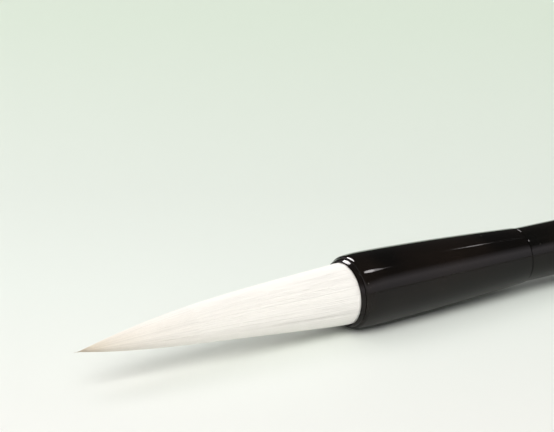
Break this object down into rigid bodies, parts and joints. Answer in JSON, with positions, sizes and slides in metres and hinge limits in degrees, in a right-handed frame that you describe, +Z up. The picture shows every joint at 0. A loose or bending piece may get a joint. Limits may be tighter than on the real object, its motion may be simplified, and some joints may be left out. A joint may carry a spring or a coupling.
{
  "type": "calligraphy brush",
  "caption": "East Asian writing brush: pointed white hair tuft in a flared black ferrule, straight gloss black barrel, turned finial and braided hanging loop.",
  "frame": {"origin": "on the table, midway between the tip of the hair and the crown of the finial bead, under the brush's axis", "axes": "+X from the tip of the hair to the hanging loop, +Z up from the table the brush lies on"},
  "size_m": [0.2614, 0.0118, 0.0116],
  "materials": {
    "moulded_black": "gloss",
    "ring_black": "gloss",
    "barrel_black": "gloss",
    "cap_black": "gloss",
    "finial_black": "gloss",
    "loop_cord": "matte",
    "gold_foil": "satin",
    "seal_red": "satin",
    "green_ink": "satin",
    "white_ink": "satin",
    "white_hair": "satin",
    "core_hair": "satin",
    "life_hair": "satin",
    "hemp_thread": "matte",
    "amber_resin": "satin"
  },
  "bodies": {
    "handle": {"mouth_ring": "ring_black", "ferrule": "moulded_black", "barrel": "barrel_black", "tail_cap": "cap_black", "finial": "finial_black", "cord_legs": "loop_cord", "cord_knot": "loop_cord", "seal_sticker": "gold_foil", "cover_hair_root": "white_hair", "core_hair_root": "core_hair", "binding_thread": "hemp_thread", "resin_seal": "amber_resin"},
    "tuft": {"cover_hair_tip": "white_hair", "core_hair_tip": "core_hair", "life_hair_tip": "life_hair"},
    "loop": {"hang_loop": "loop_cord"}
  },
  "joints": [
    {"name": "tuft_bend", "type": "hinge", "parent": "handle", "child": "tuft", "pos_m": [-0.08552, 0, 0.00587], "axis": [0.0078, 0, 1], "range_deg": [-30, 30], "stiffness_Nm_per_rad": 0.02},
    {"name": "loop_swing", "type": "hinge", "parent": "handle", "child": "loop", "pos_m": [0.12652, 0, 0.00422], "axis": [-0.0027, -0.9397, -0.342], "range_deg": [-18, 28], "stiffness_Nm_per_rad": 0.0004}
  ]
}
